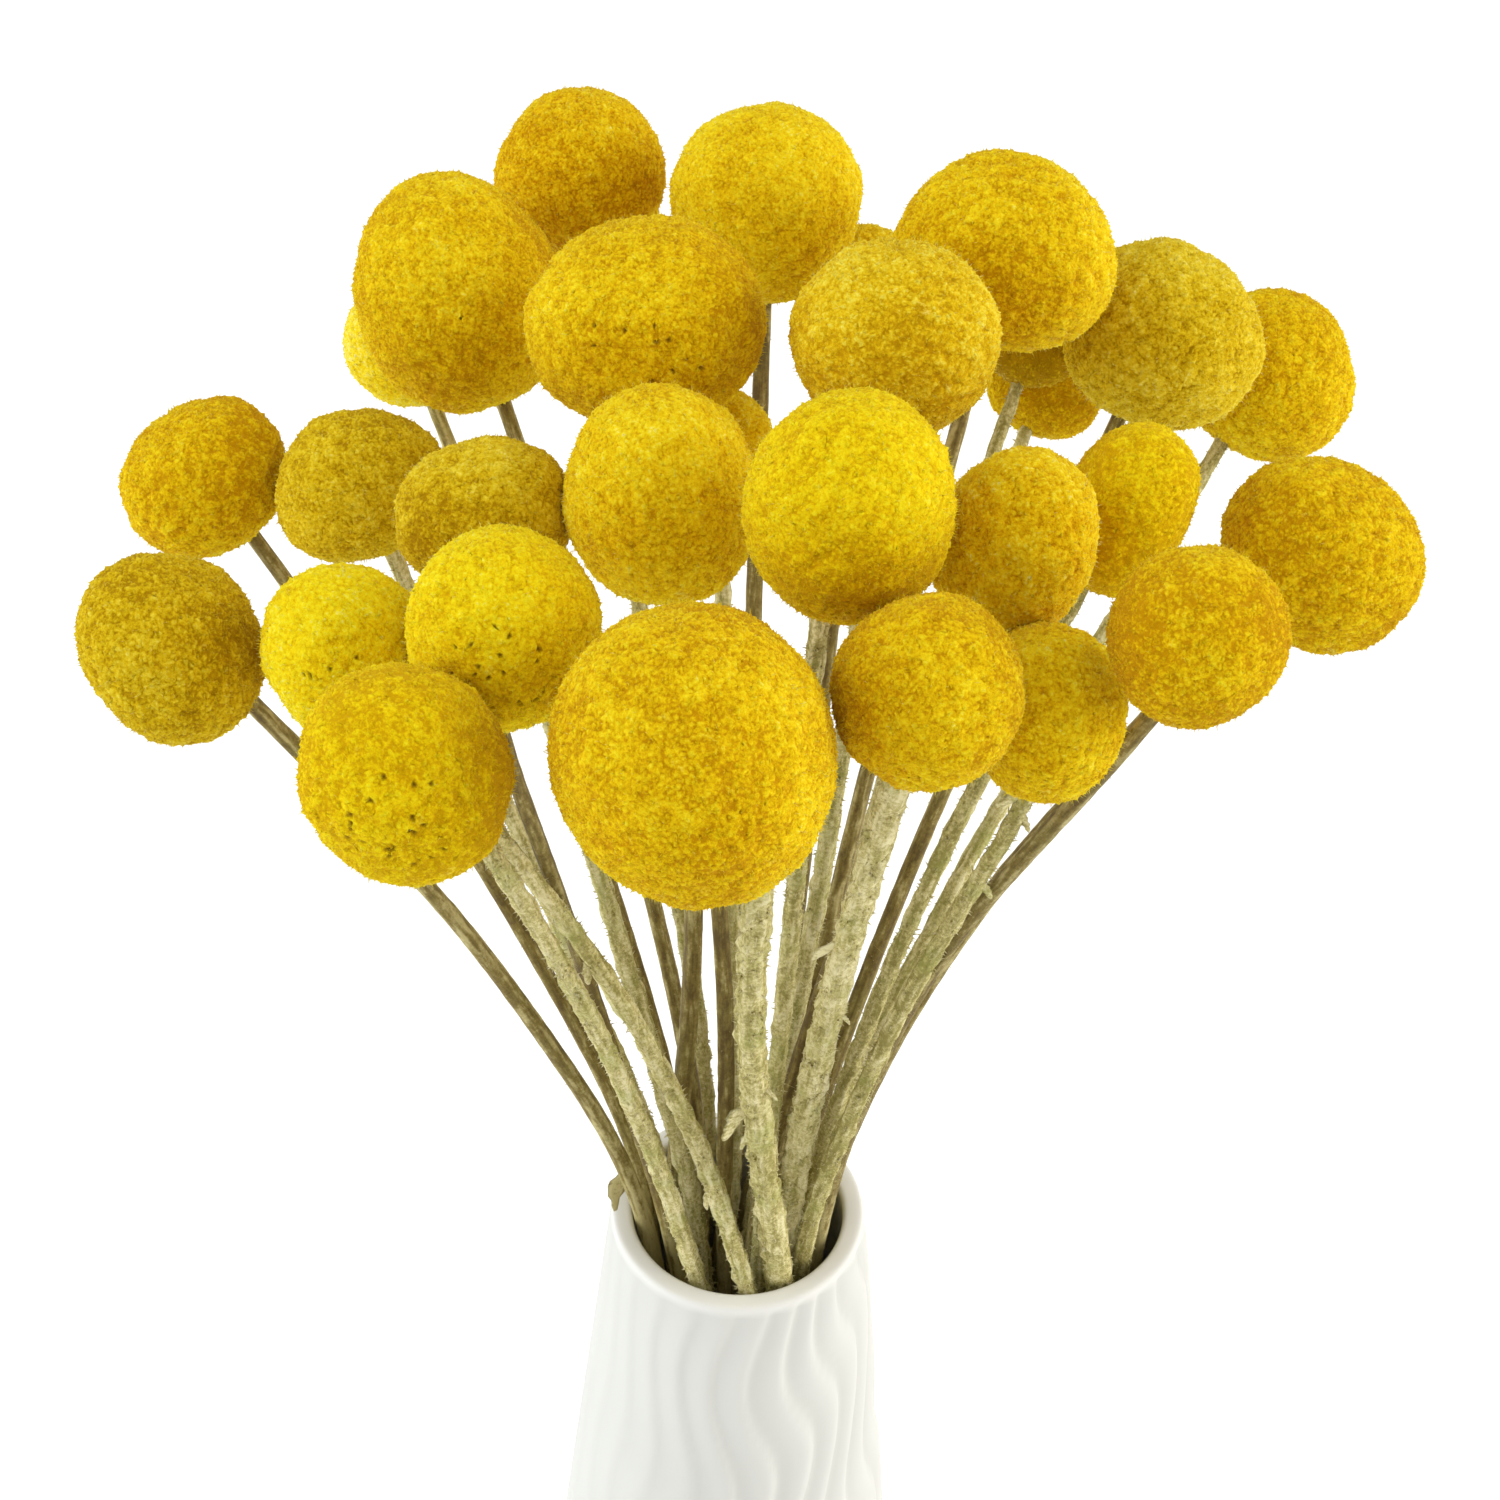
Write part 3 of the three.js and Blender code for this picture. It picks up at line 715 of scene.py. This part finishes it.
# %% Sweep a stalk
SIDES = 12
STALKS = {
    "stem_woolly": {"slim": 0.87, "ribs": 6, "rib_height": 0.06, "rough": 0.10, "collar": 0.45,
                    "coat": {"per_mm": 9.0, "reach": 0.60, "width": 0.19}, "fibres_per_mm": 0.15},
    "stem_smooth": {"slim": 1.0, "ribs": 5, "rib_height": 0.06, "rough": 0.02, "collar": 0.25,
                    "coat": {"per_mm": 0.6, "reach": 0.30, "width": 0.12}, "fibres_per_mm": 0.03},
}
FIBRE = {"reach": 2.2, "width": 0.05}
LEAST_TUFT = 0.06  # mm
TUFT_ROOT = 0.3 * MM  # how deep a tuft's foot stands
TUFT_LEAN = (0.7, 0.4)  # along the stalk and round it
TUFT_RIDGE = [0.5, 0.5, 0.5, 1.0]  # of the three points of a tuft's foot and of its tip
# the ribs' weight paints shade: the hollows between the ribs get a lower level and a darker colour
RIDGE = {"skin": 0.45, "rib": 0.16, "ragged": 0.08}
HEAD_RINGS = 3  # rings at the top that stand in the head and carry no wool
TWIST = 8  # radians in a metre of stalk, at most
COLLAR = 3.0 * MM  # length of the stalk's wider end below the head
STREAK = 0.15  # how short a length along the stalk looks to the finish


def across(line):
    """Two directions square to the line and to each other, and the line's own, at each of its points."""
    ahead = unit(np.gradient(line, axis=0))
    side = unit(np.cross(ahead, [0.0, 1.0, 0.0]))
    return side, np.cross(ahead, side), ahead


def soft_chance(rng, rings, sides):
    """Chance numbers about 1 in size for every point of a tube, alike in neighbouring rings."""
    values = rng.normal(0, 1, (rings + 1, sides))
    return (values[1:] + values[:-1]) / np.sqrt(2)


def ring_walls(rings, sides):
    """The faces of a closed tube whose points are numbered ring by ring."""
    ring = np.arange(rings - 1)[:, None] * sides
    here = np.arange(sides)
    after = (here + 1) % sides
    walls = np.stack([ring + here, ring + after, ring + after + sides, ring + here + sides], axis=-1)
    last = (rings - 1) * sides
    return walls.reshape(-1, 4).tolist() + [list(range(sides))[::-1], list(range(last, last + sides))]


def tufts(line, radius, stops, rng, per_mm, reach, width):
    """The points and faces of short tufts of wool along the visible part of a stalk."""
    showing = np.flatnonzero(line[:, 2] > SHOWS_FROM)[:-HEAD_RINGS]
    at = rng.choice(showing, int(per_mm * (stops[showing[-1]] - stops[showing[0]]) / MM))
    turn = rng.uniform(0, 2 * np.pi, (len(at), 1))
    side, through, ahead = (vectors[at] for vectors in across(line))
    out = side * np.cos(turn) + through * np.sin(turn)
    skin = line[at] + out * radius[at][:, None] + ahead * rng.uniform(-0.5, 0.5, turn.shape) * STEP
    lean_along, lean_round = (rng.normal(0, share, turn.shape) for share in TUFT_LEAN)
    lean = ahead * lean_along + np.cross(ahead, out) * lean_round
    height = LEAST_TUFT + reach * rng.random(turn.shape) ** 2
    tips = skin + (out + lean) * height * MM
    return spikes(skin - TUFT_ROOT * out, tips, width * MM, rng), stops[at]


def stalk_mesh(node, rng, slim, ribs, rib_height, rough, collar, coat, fibres_per_mm):
    """The points and faces of a stalk, and the ridge and strand of its points."""
    line, stops, smooth = stalk_line(node)
    smooth = smooth * slim
    turns = np.linspace(0, 2 * np.pi, SIDES, endpoint=False)
    twist = rng.uniform(-TWIST, TWIST) * stops[:, None]
    rib = np.cos(ribs * (turns + twist))
    ragged = soft_chance(rng, len(stops), SIDES)
    widening = 1 + collar * np.clip(1 - (stops[-1] - stops) / COLLAR, 0, 1) ** 2
    radius = (smooth * widening)[:, None] * (1 + rib_height * rib + rough * ragged)

    side, through, _ = across(line)
    out = side[:, None] * np.cos(turns)[:, None] + through[:, None] * np.sin(turns)[:, None]
    points = (line[:, None] + out * radius[..., None]).reshape(-1, 3)
    faces = ring_walls(len(stops), SIDES)
    # painted shade: the colour level follows the ribs, lower and darker in their hollows
    ridge = (RIDGE["skin"] + RIDGE["rib"] * rib + RIDGE["ragged"] * ragged).ravel()
    along = radius * 0 + STREAK * stops[:, None]
    strand = np.stack([radius * np.cos(turns), radius * np.sin(turns), along], axis=-1).reshape(-1, 3)

    for kind in (coat, {**FIBRE, "per_mm": fibres_per_mm}):
        (wool, wool_faces), wool_stops = tufts(line, smooth, stops, rng, **kind)
        faces += (wool_faces + len(points)).tolist()
        points = np.concatenate([points, wool])
        ridge = np.concatenate([ridge, np.tile(TUFT_RIDGE, len(wool) // 4)])
        strand = np.concatenate([strand, np.repeat(STREAK * wool_stops, 4)[:, None] * [0, 0, 1]])
    return points, faces, ridge, strand


print("a stalk's ring has", SIDES, "points")

# %% [markdown]
# ## Torn scraps
#
# Where a small leaf or a shred of wool was torn off, a scrap stays on the stalk. It is thin and curls
# downwards. A flat sheet would have no thickness, and a sheet without thickness can't be told inside from
# outside. So a scrap is a flattened tube, swept along a short curve that bends from the stalk's skin down.
#
# Each scrap is given by its height above the floor, its turn round the stalk from the left through the
# front to the right, its length and its width.

# %% Tear the scraps
SCRAPS = {
    "stem_17": [(203, 160, 1.6, 0.4), (199, 170, 1.5, 0.4)],
    "stem_20": [(239, 30, 2.0, 1.0)],
    "stem_22": [(189, 15, 6.5, 3.4)],
    "stem_23": [(250, 20, 2.8, 2.2), (202, 20, 3.2, 1.8)],
    "stem_26": [(227, 25, 5.5, 4.6), (219, 25, 2.4, 2.0), (232, 160, 2.0, 1.6)],
    "stem_27": [(258, 20, 4.4, 2.6), (240, 165, 2.2, 1.4)],
    "stem_28": [(288, 20, 4.0, 2.2), (284, 165, 2.4, 1.4), (270, 165, 2.6, 1.6)],
}
SCRAP_RINGS = 9
SCRAP_SIDES = 6
SCRAP_THICKNESS = 0.12 * MM
SCRAP_ROOT = 0.7 * MM  # how deep a scrap's foot stands
SCRAP_OUT = 0.60  # how far a scrap reaches outwards, sinks, curls down and strays, for its length
SCRAP_SINK = 0.35
SCRAP_CURL = 0.50
SCRAP_STRAY = 0.10
SCRAP_RIDGE = 0.75


def triangles_of(faces):
    """The faces, cut into triangles."""
    return [(face[0], b, c) for face in faces for b, c in zip(face[1:], face[2:])]


def scrap(line, radius, height, turn, length, width, rng):
    """The points and faces of one scrap on a stalk."""
    at = np.argmin(np.abs(line[:, 2] - height * MM))
    side, through, ahead = (vectors[at] for vectors in across(line))
    out = side * np.cos(np.radians(turn)) + through * np.sin(np.radians(turn))
    t = np.linspace(0, 1, SCRAP_RINGS)[:, None]
    root = line[at] + out * (radius[at] - SCRAP_ROOT)
    bend = SCRAP_STRAY * rng.normal(size=3) - SCRAP_CURL * ahead
    reach = t * (SCRAP_OUT * out - SCRAP_SINK * ahead) + t**2 * bend
    middle = root + reach * length * MM
    along = unit(np.gradient(middle, axis=0))
    normal = unit(np.cross(along, ahead))
    breadth = np.cross(normal, along)
    half = 0.5 * width * MM * (1.02 - t) ** 0.45 * rng.uniform(0.7, 1.2, t.shape)
    turns = np.linspace(0, 2 * np.pi, SCRAP_SIDES, endpoint=False)[:, None]
    ring = np.cos(turns) * (breadth * half)[:, None] + np.sin(turns) * (SCRAP_THICKNESS * normal)[:, None]
    faces = triangles_of(ring_walls(SCRAP_RINGS, SCRAP_SIDES))
    return (middle[:, None] + ring).reshape(-1, 3), np.array(faces)


print("there are", sum(map(len, SCRAPS.values())), "scraps")

# %% [markdown]
# ## The colour of the stalks
#
# Wool is a pale khaki, and its crumbs are half a millimetre small. A bare stalk is brown, with darker and
# lighter stretches where it dried more or less. Both finishes follow the ribs' height, which is kept as
# `ridge`, so that shade is painted into the hollows between the ribs, and mix in noise that is drawn out into
# streaks. In and just above the vase's mouth a bare stalk is painted paler, as painted light that lifts the
# shade between the stalks there. Here and there a patch has kept some of its green, mostly under the wool.

# %% Mix the finishes of the stalks
WOOL = {"deep": (0.34, 0.29, 0.085), "body": (0.64, 0.56, 0.23), "tip": (0.90, 0.82, 0.48)}
BARE = {"deep": (0.14, 0.092, 0.024), "body": (0.28, 0.21, 0.055), "tip": (0.62, 0.53, 0.24)}
GREEN = (0.36, 0.40, 0.09)
# from this height down, painted light lifts the bare stalks' colour towards the tips' against the shade in
# the vase's mouth
MOUTH_LIGHT_FROM = VASE_HEIGHT + 12 * MM
MOUTH_LIGHT_FULL_FROM = VASE_HEIGHT - 8 * MM


def stalk_finish(name, deep, body, tip, roughness, patch, grain, crumbs, mouth_light, greenest):
    """One argument says how far painted light lifts the colour towards the tips' in the vase's mouth, and
    greenest how green patches get.
    """
    finish = Finish(name, roughness=roughness, specular=0.2)
    place = finish.place()
    patches = finish.spread(finish.noise(place, patch, 4.0, 0.6), 0.3, 0.7, -0.18, 0.18)
    drawn_out = finish.noise(finish.read("strand", "Vector"), 1300.0, 3.0, 0.6)
    streaks = finish.spread(drawn_out, 0.3, 0.7, -0.38, 0.38)
    fine = finish.noise(place, grain, 5.0, 0.8)
    fibres = finish.spread(fine, 0.35, 0.65, -crumbs, crumbs)
    level = finish.add("SeparateXYZ", {0: place}, "Z")
    # painted light: paler from a little above the vase's mouth downwards, against the shade between the
    # stalks
    painted_mouth_light = finish.spread(level, MOUTH_LIGHT_FROM, MOUTH_LIGHT_FULL_FROM, 0.0, mouth_light)
    height = finish.sum(finish.read("ridge"), patches, streaks, fibres, painted_mouth_light)
    dry = finish.ramp(height, (0.05, deep), (0.5, body), (0.95, tip))
    green = finish.spread(finish.noise(place, 140.0, 3.0, 0.6), 0.5, 0.72, 0.0, greenest)
    finish.colour(finish.blend(green, dry, (*GREEN, 1.0)))
    finish.bump(fine, 1.0, 0.3 * MM)
    return finish.material


finishes["stem_woolly"] = stalk_finish(
    "stem_woolly", **WOOL, roughness=0.95, patch=110.0, grain=1900.0, crumbs=0.42, mouth_light=0.0, greenest=0.45)
finishes["stem_smooth"] = stalk_finish(
    "stem_smooth", **BARE, roughness=0.6, patch=30.0, grain=1500.0, crumbs=0.18, mouth_light=0.60, greenest=0.10)
print("mixed stem_woolly and stem_smooth")

# %% [markdown]
# As with the heads, no two stalks are as light. Chance decides how light a stalk is, but for a few that
# have lost most of their wool or have dried very dark.

# %% Make all the stalks
LIGHT = {"stem_14": -0.10, "stem_19": -0.10, "stem_20": -0.12, "stem_24": -0.15, "stem_28": -0.16}
LIGHT_RANGE = (-0.05, 0.12)
FIRST_SEED = 100  # so that a stalk has other chance numbers than the head of the same number

before = triangle_count
for node in sorted(name for name in frame["nodes"] if name.startswith("stem_")):
    number = node.split("_")[1]
    rng = np.random.default_rng(FIRST_SEED + int(number))
    points, faces, ridge, strand = stalk_mesh(node, rng, **STALKS[finish_of[node]])
    line, stops, radius = stalk_line(node)
    for place in SCRAPS.get(node, ()):
        torn, torn_faces = scrap(line, radius, *place, rng)
        faces += (torn_faces + len(points)).tolist()
        points = np.concatenate([points, torn])
        ridge = np.concatenate([ridge, np.full(len(torn), SCRAP_RIDGE)])
        strand = np.concatenate([strand, torn - torn[0]])
    stalk = make_piece(f"stalk_{number}", points, faces, finishes[finish_of[node]])
    mark(stalk, "ridge", ridge + LIGHT.get(node, rng.uniform(*LIGHT_RANGE)))
    mark(stalk, "strand", strand)
    stand_for(stalk, node)
print("the stalks have", triangle_count - before, "triangles")

# %% [markdown]
# ## The vase
#
# The vase was cast in a mould: a cone with a plain rounded lip, and soft flutes outside that wander like
# the grain of wood. A displacement texture could make them, but it would need a dense mesh everywhere.
# Here the wall is swept round the axis ring by ring, and the flutes are a formula of the angle and the
# height, so the mesh is dense only where they are.

# %% Set the vase's sizes and its flutes
TAPER = 0.095  # how much the radius grows with each unit of depth below the mouth
MOUTH_RADIUS = 18 * MM
WALL = 3 * MM
LIP = WALL / 2
FLOOR_THICKNESS = 5 * MM
FOOT_ROUND = 4 * MM
FLUTES = 24
FLUTE_DEPTH = 0.36 * MM
STEEP = 0.25  # share of a flute's width that its steep side takes
PLAIN_LIP = 1.0 * MM  # below the lip, how far down no flute reaches
# painted light: the lip's crown is painted lighter, as a share of the inside's
LIP_PAINTED_LIGHT = 0.45  # how bright the lip's glaze is, as a share of the inside's
SQUARE = 0.50  # 1 makes the lip's section half round, and less makes it squarer
SWAY = 2.4 * MM
SWAY_LENGTH = 46 * MM
COLUMNS = 10 * FLUTES
ROWS = 72


def smooth_step(x, low, high):
    """A soft step from 0 at the low value to 1 at the high one."""
    t = np.clip((x - low) / (high - low), 0, 1)
    return t * t * (3 - 2 * t)


def outer_radius(z):
    """The outside's radius at a height, without the flutes."""
    return MOUTH_RADIUS + TAPER * (VASE_HEIGHT - z)


def flute_relief(angle, z):
    """How far the wall stands out or in at an angle and a height, as a share of the flutes' depth. The
    sizes and turns of its waves are given."""
    down = VASE_HEIGHT - z
    lively = 0.55 + 0.45 * np.sin(angle + 2.2)
    shift = 2.2 * np.sin(angle) + 0.8 * np.cos(2 * angle) - 1.0
    sway = SWAY * lively * np.sin(2 * np.pi * down / SWAY_LENGTH + shift) / outer_radius(z)
    wander = 0.06 * np.sin(3 * angle + 40 * down) + 0.04 * np.sin(7 * angle - 65 * down + 1)
    across_flute = (FLUTES * (angle - sway) / (2 * np.pi) + wander) % 1
    rising = smooth_step(across_flute, 0, 1 - STEEP)
    falling = smooth_step(across_flute, 1 - STEEP, 1)
    return (2 * (rising - falling) - 1) * (0.18 + 0.82 * lively**3)


print("the vase is", round(VASE_HEIGHT / MM), "mm high, and its mouth", 2 * MOUTH_RADIUS / MM, "mm wide")

# %% Sweep the vase
def arc(radius, middle_r, middle_z, start, end, steps, square=1.0):
    """Radius and height of the points of an arc between two angles."""
    turns = np.radians(np.linspace(start, end, steps))
    right, up = (np.sign(part) * np.abs(part) ** square for part in (np.cos(turns), np.sin(turns)))
    return list(zip(middle_r + radius * right, middle_z + radius * up))


def wall_profile():
    """Radius and height of every ring, from the foot up the outside and down the inside to the floor."""
    foot_r = outer_radius(FOOT_ROUND) - FOOT_ROUND
    lip_z = VASE_HEIGHT - LIP
    rings = [(foot_r * share, 0.0) for share in (0.35, 0.8)]
    rings += arc(FOOT_ROUND, foot_r, FOOT_ROUND, -90, -15, 6)
    rings += [(outer_radius(z), z) for z in np.linspace(FOOT_ROUND + MM, lip_z - 0.5 * MM, ROWS)]
    rings += arc(LIP, MOUTH_RADIUS - LIP, lip_z, 5, 180, 14, SQUARE)
    inside_top = lip_z - 2 * MM
    inside_foot = FLOOR_THICKNESS + FOOT_ROUND
    rings += [(outer_radius(z) - WALL, z) for z in np.linspace(inside_top, inside_foot, 10)]
    floor_r = outer_radius(FLOOR_THICKNESS) - WALL - FOOT_ROUND
    rings += arc(FOOT_ROUND, floor_r, inside_foot, 0, -90, 5)[1:]
    rings += [(floor_r * share, FLOOR_THICKNESS) for share in (0.7, 0.35)]
    return np.array(rings)


def vase_mesh():
    """The points and faces of the vase, the relief of its points, and how much painted light lifts their
    glaze.
    """
    profile = wall_profile()
    angles = np.linspace(0, 2 * np.pi, COLUMNS, endpoint=False)
    r = np.repeat(profile[:, :1], COLUMNS, axis=1)
    z = np.repeat(profile[:, 1:], COLUMNS, axis=1)
    outside = r > outer_radius(z) - 0.1 * MM
    above_foot = smooth_step(z, FOOT_ROUND, 5 * FOOT_ROUND)
    below_lip = 1 - smooth_step(z, VASE_HEIGHT - 2.5 * PLAIN_LIP, VASE_HEIGHT - PLAIN_LIP)
    relief = flute_relief(angles, z) * above_foot * below_lip * outside
    # painted light: the inside is painted lighter from a little below the lip down, and the lip's crown a
    # little
    inside = np.where(r < outer_radius(z) - LIP, smooth_step(VASE_HEIGHT - z, LIP, 3 * LIP), 0.0)
    painted_lip_light = LIP_PAINTED_LIGHT * smooth_step(z, VASE_HEIGHT - 1.2 * LIP, VASE_HEIGHT - 0.5 * LIP)
    painted_glaze_light = np.maximum(inside, painted_lip_light)
    r = r + FLUTE_DEPTH * relief
    points = np.stack([r * np.cos(angles), r * np.sin(angles), z], axis=-1).reshape(-1, 3)
    return points, ring_walls(len(profile), COLUMNS), relief.ravel(), painted_glaze_light.ravel()


points, faces, relief, painted_glaze_light = vase_mesh()
print("the vase has", len(faces), "faces")

# %% [markdown]
# ## Matt porcelain
#
# The body is a warm white clay with a satin matt glaze. The creases are a touch darker and greyer than the
# ridges. Very fine noise breaks up the highlight. The inside is painted a much lighter white, painted light
# that lifts the shade down between the stalks, and the lip is painted a little lighter too.

# %% Finish the vase
glaze = Finish("vase", roughness=0.5, specular=0.35)
place = glaze.place()
cloud = glaze.spread(glaze.noise(place, 30.0, 2.0), 0.3, 0.7, -0.15, 0.15)
# the creases are a touch darker and greyer, the ridges lighter
tone = glaze.sum(glaze.spread(glaze.read("relief"), -1.0, 1.0), cloud)
body = glaze.ramp(tone, (0.0, (0.60, 0.60, 0.565)), (0.5, (0.65, 0.65, 0.615)), (1.0, (0.675, 0.675, 0.64)))
# painted light blends the inside and the lip towards a lighter white
glaze.colour(glaze.blend(glaze.read("painted_glaze_light"), body, (0.92, 0.91, 0.87, 1.0)))
glaze.bump(glaze.noise(place, 1500.0, 3.0), 0.12, 0.05 * MM)
finishes["vase"] = glaze.material

before = triangle_count
vase = make_piece("fluted_vase", points, faces, finishes["vase"])
mark(vase, "relief", relief)
mark(vase, "painted_glaze_light", painted_glaze_light)
stand_for(vase, "vase")
print("the vase has", triangle_count - before, "triangles")

# %% [markdown]
# ## The triangles
#
# The finer pieces may stand a little proud of the plain ones, but no more. The last cell prints how many
# triangles all the finer pieces have.

# %% Count the triangles
print("all pieces have", triangle_count, "triangles")
